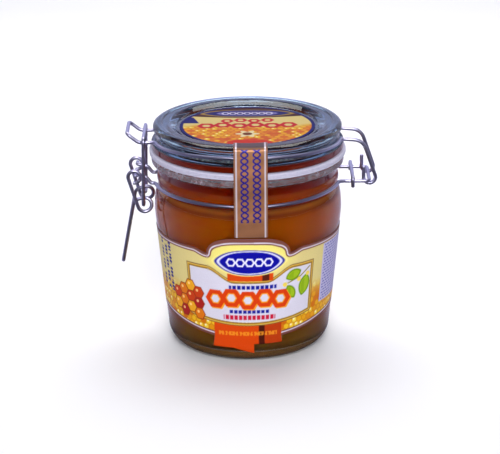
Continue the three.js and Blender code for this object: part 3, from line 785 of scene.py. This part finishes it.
# the label's print, by x in millimetres round the jar from the front and height z
def labelPicture(x, z, degrees):
    s = labelSizes
    mm = s["roundMillimetres"]
    # the paper's white carries a painted lavender cast that stands for the studio light's
    white = "#d6d2e2"
    picture = np.zeros(x.shape + (3,)) + ink("#dccb86")
    glow = smooth(-np.hypot((x - 0.6) / 24, (z - 57) / 11), -1.15, -0.6)[..., None]
    picture = picture * (1 - glow) + ink("#f2e67c") * glow

    # honeycomb ground, fading in towards the bottom
    fade = smooth(-z, -42, -30)[..., None]
    picture = picture * (1 - fade) + combInks(x, z, 3.1) * fade

    # framed panel, dipping under the plaque
    panelTop = 49.6 - 6.4 * smooth(-np.abs(x - 0.8), -22, -8)
    panelBottom = 22.7 + 3.2 * (x / 32) ** 2
    panel = np.maximum(np.maximum(z - panelTop, panelBottom - z), np.abs(x - 1.2) - 31.8)
    picture = layBands(picture, panel, frameInks)
    picture = lay(picture, panel, white)

    # sprig of leaves with small pale blossoms
    picture = lay(picture, stroke(x, z, [(32.5, 48.5), (27, 44.5), (20, 42)], 0.6), "#8a7a2c")
    for centre, length, width, direction in (
            ((29.6, 39.4), 11.5, 6.6, 75), ((23, 46), 9, 5.6, 200), ((21.8, 37.2), 8.4, 5, 120)):
        shape = leaf(x, z, centre, length, width, direction)
        picture = lay(picture, shape, "#6f9408")
        picture = lay(picture, shape + 0.8, "#9cbc1c")
        picture = lay(picture, np.maximum(shape + 1.2, x - centre[0]), "#86aa10", 0.8)
    for centre in ((26.2, 43), (18.4, 41.4), (31.4, 45)):
        picture = lay(picture, np.hypot(x - centre[0], z - centre[1]) - 1.2, "#efd45a")

    # plain bars and a row of honey-coloured hexagons in place of words
    for centre, half, colour in (((2.1, 41.3), (11.8, 1.0), "#141c94"), ((0.3, 28.3), (10, 0.9), "#141c94"),
                                 ((0.4, 25.2), (13.4, 1.2), "#c41236")):
        broken = np.abs((x - centre[0]) / 2.3 - np.round((x - centre[0]) / 2.3)) * 2.3 - 0.86
        picture = lay(picture, np.maximum(boxShape(x, z, centre, half), broken), colour)
    for k in range(5):
        centre = ((k - 2) * 8.3 - 0.4, 35.0 + (0.6 if k % 2 else -0.5))
        shape = hexagon(x, z, centre, 4.7)
        picture = lay(picture, hexagon(x, z, (centre[0] + 0.7, centre[1] - 0.6), 4.7), "#f0a028")
        picture = lay(picture, shape, "#d83c04")
        picture = lay(picture, shape + 2.2, "#f0a028")
        picture = lay(picture, shape + 2.8, white)

    # a piece of comb over the frame's corner
    cells = ((0, 0), (1, 0.5), (1, -0.5), (2, 0), (0, 1), (2, 1), (1, 1.5), (0, -1), (2, -1), (-1, 0.5),
             (-1, -0.5))
    for k, (column, row) in enumerate(cells):
        centre = (-36.5 + column * 4.9, 30.5 + row * 5.66)
        shape = hexagon(x, z, centre, 2.65)
        tone = ("#dd7410", "#c83c10", "#eda41c", "#a81e1c")[k % 4]
        picture = lay(picture, shape - 0.45, "#8e3410")
        picture = lay(picture, shape, tone)
        picture = lay(picture, np.hypot(x - centre[0] + 0.8, z - centre[1] - 0.9) - 0.75, "#ffdf90", 0.8)

    # plaque with a row of pale cells, over the end of the ribbon
    picture = lay(picture, boxShape(x, z, (0.9, 46.6), (11.2, 1.9)), "#d84404")
    picture = lay(picture, boxShape(x, z, (8.4, 46.6), (1.7, 1.9)), "#5a1c0c")
    plaque = roundHexagon(x, z, (0.6, 54.45), 6.1, 2.45)
    picture = layBands(picture, plaque, plaqueInks)
    picture = layCells(picture, x, z, (0.6, 54.45), 5, 4.5, 1.75, 0.42, "#e6e4f6")

    # side panels of small print
    picture = lay(picture, boxShape(x, z, (60.5, 42), (18.5, 15.4)), "#bcb8da")
    picture = lay(picture, dashes(x, z, (61.5, 42), (18.2, 14.6), 1.5, 0.5), "#5c58aa", 0.85)
    for column in (-45.6, -49.2, -53.6):
        words = boxShape(z, x, (42.5 - 0.1 * column, column), (15, 1.15))
        words = np.maximum(words, np.sin(z * 0.9 + column) - 0.75)
        strokes = np.sin(z * 3.3 + column) * 0.5 + np.sin(x * 3.9) * 0.25 - 0.3
        picture = lay(picture, np.maximum(words, strokes), "#1c1c80", 0.95)

    # border: brown, a white line, brown again, along the top edge and the hem, wider over the arch
    span = np.concatenate([[-200], np.linspace(-s["dipAngle"], s["dipAngle"], 289), [200]])
    edge = stroke(x, z, np.stack([span * mm, labelTop(span)], 1), 0)
    edge = edge - 0.7 * smooth(-np.abs(degrees), -24, -17)
    hem = np.where(np.abs(degrees) > 89, z - labelHem(90), (z - labelHem(degrees)) * 0.97)
    ribbon = np.maximum(np.abs(x + 0.6) - 17.9, z - panelBottom + 2.05)
    for distance in (edge, np.where(ribbon < 0, 9, hem)):
        picture = layBands(picture, distance, borderInks)

    # the ribbon comes from behind the panel and lies over the hem, with one fold
    ribbon = np.where(z < 30, ribbon, 9)
    picture = lay(picture, ribbon, "#d84404")
    picture = lay(picture, np.maximum(ribbon, 5.2 - x), "#ba3a08")
    picture = lay(picture, np.maximum(ribbon, np.abs(x - 6.7) - 1.5), "#4c160a")
    words = np.sin(x * 3.3) * 0.6 + np.sin(x * 0.9) * 0.3 + np.sin(z * 2.9 + x * 1.7) * 0.3 - 0.35
    words = np.maximum(boxShape(x, z, (-0.6, 16.5), (15.5, 1.05)), words)
    return lay(picture, words, "#ee9420", 0.85)


# a sheet wrapped round the wall: a grid of angle by share of the height, and again a paper's thickness inside
def makeLabel():
    s = labelSizes
    front = np.linspace(-82, 82, 421)
    side = np.linspace(84, s["reach"], 45)
    steps = np.array([-s["notchAngle"], s["notchAngle"], s["tipStart"]])
    for step in (s["ribbonLeft"], s["tip"], s["ribbonRight"]):  # the hem jumps here, within 0.02 degrees
        steps = np.append(steps, [step - 0.01, step + 0.01])
    degrees = np.unique(np.concatenate([-side, front, side, steps]))
    rows = np.linspace(0, 1, 161)
    low, high = labelBottom(degrees)[:, None], labelTop(degrees)[:, None]
    z = low + (high - low) * rows
    outer = sheetRadius(z) + s["lift"] + s["paper"]
    zBack = low + (high - low) * np.array([1, 0.75, 0.5, 0.25, 0.12, 0])
    inner = sheetRadius(zBack) + s["lift"]
    radius, height = np.hstack([outer, inner]), np.hstack([z, zBack])
    turn = degrees[:, None] + 0 * height
    hem = labelHem(turn)
    below = np.clip((hem - height) / (hem - s["lowTip"]), 0, 1)
    angle = np.radians(turn * (1 + s["flare"] * below))  # the ribbon's end spreads a little
    rings = np.stack([radius * np.sin(angle), -radius * np.cos(angle), height], -1)
    piece = ringMesh("frontLabel", rings, startPole=rings[0].mean(0), endPole=rings[-1].mean(0))
    paintPiece(piece, labelPicture(turn * s["roundMillimetres"], height, turn))
    finishPiece(piece, paperMaterial, "jar", ["body_label"])


# The lid label: a disc in the lid's well, printed with other fields of the same inks

def lidPicture(x, y):
    picture = combInks(x, y, 3.2)
    cream = smooth(y + 1.5 * np.sin(x * 0.35), -5, 3)[..., None]
    picture = picture * (1 - cream) + ink("#dccfa0") * cream
    for count, pitch, row, radius in ((4, 6.6, 8.6, 2.9), (6, 8.0, 0.4, 4.0)):
        for k in range(count):
            cell = hexagon(x, y, ((k - count / 2 + 0.5) * pitch, row + (0.6 if k % 2 else -0.6)), radius)
            picture = lay(picture, cell, "#c40828")
            picture = lay(picture, cell + radius * 0.52, "#dccfa0")
    blossom = np.hypot(x, y + 14)
    petals = blossom - 4.6 - 1.3 * np.cos(6 * np.arctan2(y + 14, x))
    picture = lay(picture, petals, "#e6dcc0")
    picture = lay(picture, blossom - 2.3, "#7a4a14")
    picture = lay(picture, np.hypot((x - 1) / 11, (y + 28) / 5) * 5 - 5, "#cc3404", 0.85)
    segment = 13.5 - y + 0.004 * x ** 2
    picture = lay(picture, segment, "#4a2630")
    plaque = roundHexagon(x, y, (0, 21.2), 5.6, 3.6)
    picture = layBands(picture, plaque, lidPlaqueInks)
    picture = layCells(picture, x, y, (0, 21.2), 7, 3.6, 1.5, 0.45, "#d8d8ee")
    corner = np.maximum(np.abs(x + y * 0.3 + 26.5) - 4.2, np.abs(y - 9.5) - 5)
    picture = lay(picture, corner, "#10188e")
    picture = lay(picture, 31.4 - np.hypot(x, y), "#10188e")
    return 0.92 * picture ** (1.1, 1.3, 1.6)


lidLabelSizes = {"radius": 33.0, "bottom": 109.1, "paper": 0.16}


def makeLidLabel():
    radius, bottom = lidLabelSizes["radius"], lidLabelSizes["bottom"]
    top = bottom + lidLabelSizes["paper"]
    radii = np.linspace(radius, 0, 111)[:-1]
    section = np.vstack([
        [(0, bottom), (radius / 2, bottom), (radius, bottom)],
        np.stack([radii, np.full(110, top)], 1), [(0, top)]])
    piece = turnedPiece("lidLabel", section, 480)
    points = np.zeros(len(piece.data.vertices) * 3)
    piece.data.vertices.foreach_get("co", points)
    points = points.reshape(-1, 3) / toMetres
    paintPiece(piece, lidPicture(points[:, 0], points[:, 1]))
    finishPiece(piece, lidPaperMaterial, "jar", ["lid_label"])


# The seal strip: copper-coloured paper from the lid label over the rim and down to the front label

stripSizes = {
    "width": 16.0, "centre": 1.4, "paper": 0.16, "start": (33.3, 109.35), "top": 112.0,
    "overGasket": (48.3, 98.4), "end": 67.6,
}


# the under side as radius and height, from the lid label over the rim and the gasket to the wall
def stripLine():
    s = stripSizes
    top = s["top"]
    rim = smoothStretch((44.2, top), (46.9, top), (46.95, top - 2.2), 14)
    corners = np.vstack([
        [s["start"], (38, top)], rim, [s["overGasket"], (wallRadius(s["end"]) + 0.3, s["end"])]])
    reaches = [0, 1.5] + [0] * len(rim) + [3.0, 0]
    return refined(rounded(corners, reaches), 0.4)


# pinstripes along the edges and two rows of a twist, a common border ornament; the paper is painted darkest
# on the lid's flat rim, a painted dark reflection, and brightest over the bend, a painted highlight, with
# streaks of painted sheen along it
def stripPicture(x, run):
    # the tones along the run are painted light: a painted dark reflection on the flat rim and a painted
    # highlight over the bend
    tones = ("#40241f", "#4c2e2a", "#c88c60", "#a8744e", "#a06c4c")
    picture = blendInks(run, (0, 12.9, 14.2, 16.9, 22), tones)
    # streaks of painted sheen along the strip
    paintedSheen = np.sin(run * 0.31 + 0.25 * np.sin(x * 0.9)) + 0.6 * np.sin(run * 0.83 + x * 0.12)
    picture = picture * (1 + 0.07 * paintedSheen[..., None])
    for side in (-2.9, 2.9):
        for strand in (0, math.pi):
            wave = run * 1.05 + strand
            curve = np.abs(x - side - 1.6 * np.sin(wave)) / np.sqrt(1 + (1.68 * np.cos(wave)) ** 2)
            window = np.where((run > 14) & (run < 50), curve - 0.38, 9)
            picture = lay(picture, window, "#1c1c8c", 0.95)
    picture = lay(picture, np.abs(np.abs(x) - 6.8) - 0.38, "#d8ccd6")
    return lay(picture, 7.2 - np.abs(x), "#8e6250", 0.6)


# the line carried across the strip's width; each point keeps its radius, so its depth is the root of the
# squared radius less the squared offset
def makeStrip():
    s = stripSizes
    line = stripLine()
    along = np.gradient(line, axis=0)
    along /= np.linalg.norm(along, axis=1, keepdims=True)
    outward = np.stack([-along[:, 1], along[:, 0]], 1)
    run = np.append(0, np.cumsum(np.linalg.norm(np.diff(line, axis=0), axis=1)))
    across = np.linspace(-0.5, 0.5, 65) * s["width"]
    over, under = line + outward * s["paper"], line
    width = np.concatenate([across, across[::-16]])[None, :]
    radius = np.hstack([np.repeat(over[:, :1], 65, 1), np.repeat(under[:, :1], 5, 1)])
    height = np.hstack([np.repeat(over[:, 1:], 65, 1), np.repeat(under[:, 1:], 5, 1)])
    x = s["centre"] + width
    rings = np.stack([x + 0 * radius, -np.sqrt(radius ** 2 - x ** 2), height], -1)
    piece = ringMesh("sealStrip", rings, startPole=rings[0].mean(0), endPole=rings[-1].mean(0))
    paintPiece(piece, stripPicture(width + 0 * radius, run[:, None] + 0 * radius))
    finishPiece(piece, stripMaterial, "jar", ["seal_strip"])


makeLabel()
makeLidLabel()
makeStrip()

# Floor, light and camera

# the floor in metres; the card's radii in millimetres, and its tones from the front round to the back
floorLook = {
    "half": 3, "height": -0.0002, "colour": "#f8f8fa",
    # near the jar the card is grey, a painted reflection of the floor in the jar's shadow
    "cardInner": 33.4, "cardOuter": 2000, "cardNearPaintedShadow": "#5c5a62",
    "cardTones": (
        (0.1, "#0c0b10"), (0.2, "#403e4c"), (0.31, "#626074"), (0.465, "#807e96"), (0.65, "#bcb9d2")),
}


# a plain white paper
def makeFloor():
    half = floorLook["half"]
    corners = [(-half, -half, 0), (half, -half, 0), (half, half, 0), (-half, half, 0)]
    material = startMaterial("floorPaper", {
        "Base Color": linear(floorLook["colour"]), "Roughness": 0.7, "Specular IOR Level": 0.2})[0]
    mesh = bpy.data.meshes.new("floor")
    mesh.from_pydata(corners, [], [(0, 1, 2, 3)])
    mesh.materials.append(material)
    floor = bpy.data.objects.new("floor", mesh)
    floor.location.z = floorLook["height"]
    scene.collection.objects.link(floor)


# a dark card laid round the jar, which only gloss shows: a painted reflection of a dark room that keeps the
# glare of the white floor out of the glass and the wires, and pales towards the back; near the jar it is
# grey, a painted reflection of the floor in the jar's shadow
def makeCard():
    angle = np.linspace(0, 2 * math.pi, 96, endpoint=False)
    circle = np.stack([np.cos(angle), np.sin(angle), 0 * angle], -1)
    card = ringMesh("floorCard", np.stack([circle * floorLook["cardInner"], circle * floorLook["cardOuter"]]))
    material, tree, shader, place = startMaterial("shadedCard", {"Roughness": 0.9, "Specular IOR Level": 0.0})
    here = {0: (place, "Object")}
    way = addNode(tree, "VectorMath", {"operation": "NORMALIZE"}, here)
    split = addNode(tree, "SeparateXYZ", links={"Vector": (way, "Vector")})
    back = addNode(tree, "MapRange", {"From Min": -1.0}, {"Value": (split, "Y")})
    tone = addNode(tree, "ValToRGB", links={"Fac": (back, "Result")}, stops=floorLook["cardTones"])
    far = addNode(tree, "VectorMath", {"operation": "LENGTH"}, here)
    share = addNode(tree, "MapRange", {"From Min": 0.036, "From Max": 0.06}, {"Value": (far, "Value")})
    near = {"data_type": "RGBA", 6: linear(floorLook["cardNearPaintedShadow"])}
    mixed = addNode(tree, "Mix", near, {0: (share, "Result"), 7: (tone, "Color")})
    feed(tree, shader, {"Base Color": (mixed, 2)})
    card.data.materials.append(material)
    card.visible_camera = card.visible_diffuse = card.visible_transmission = card.visible_shadow = False


# soft boxes: place, what each looks at, width and height in metres, watts, colour and spread in degrees
softboxes = {
    "sweepBox": ((0, 0.5, 1.1), (0, 0.42, 0), (1.1, 0.8), 6.3, "#fffefa", 120),
    "leftBox": ((-0.95, 0.8, 0.45), (0, 0, 0.08), (0.6, 1.0), 0.4, "#ffffff", 90),
    "rightBox": ((0.95, 0.8, 0.45), (0, 0, 0.08), (0.6, 1.0), 0.4, "#ffffff", 90),
    "frontBox": ((0.05, -1.3, 0.78), (0, 0, 0.05), (0.7, 0.9), 4.9, "#ffffff", 90),
}
roomLook = {"colour": "#c6caee", "dim": 0.17, "wall": 1.15}


def addSoftbox(name, place, target, size, watts, colour, spread):
    light = bpy.data.lights.new(name, "AREA")
    light.shape = "RECTANGLE"
    light.size, light.size_y = size
    light.energy = watts
    light.color = linear(colour)[:3]
    light.spread = math.radians(spread)
    box = bpy.data.objects.new(name, light)
    box.location = place
    box.rotation_euler = (Vector(target) - Vector(place)).to_track_quat("-Z", "Y").to_euler()
    scene.collection.objects.link(box)


# a dim room with a pale wall far behind the jar
def makeLight():
    world = bpy.data.worlds.new("studio")
    world.use_nodes = True
    tree = world.node_tree
    place = addNode(tree, "TexCoord")
    split = addNode(tree, "SeparateXYZ", links={"Vector": (place, "Generated")})
    wall = {"From Min": 0.6, "From Max": 0.95, "To Min": roomLook["dim"], "To Max": roomLook["wall"]}
    back = addNode(tree, "MapRange", wall, {"Value": (split, "Y")})
    background = tree.nodes["Background"]
    background.inputs["Color"].default_value = linear(roomLook["colour"])
    feed(tree, background, {"Strength": (back, "Result")})
    scene.world = world
    for name, values in softboxes.items():
        addSoftbox(name, *values)


cameraSizes = {
    "aim": (0.0009, 0, 0.0568), "distance": 1.0, "pitch": 19.4, "roll": -0.45, "focalPixels": 2016,
    "imageWidth": 500,
}


def makeCamera():
    s = cameraSizes
    data = bpy.data.cameras.new("camera")
    data.lens = s["focalPixels"] / s["imageWidth"] * data.sensor_width
    camera = bpy.data.objects.new("camera", data)
    pitch = math.radians(s["pitch"])
    back = Vector((0, -math.cos(pitch), math.sin(pitch)))
    camera.location = Vector(s["aim"]) + back * s["distance"]
    roll = Quaternion((0, 0, 1), math.radians(s["roll"]))
    camera.rotation_euler = ((-back).to_track_quat("-Z", "Y") @ roll).to_euler()
    scene.collection.objects.link(camera)
    scene.camera = camera


makeFloor()
makeCard()
makeLight()
makeCamera()
print("floor, lights and camera set")
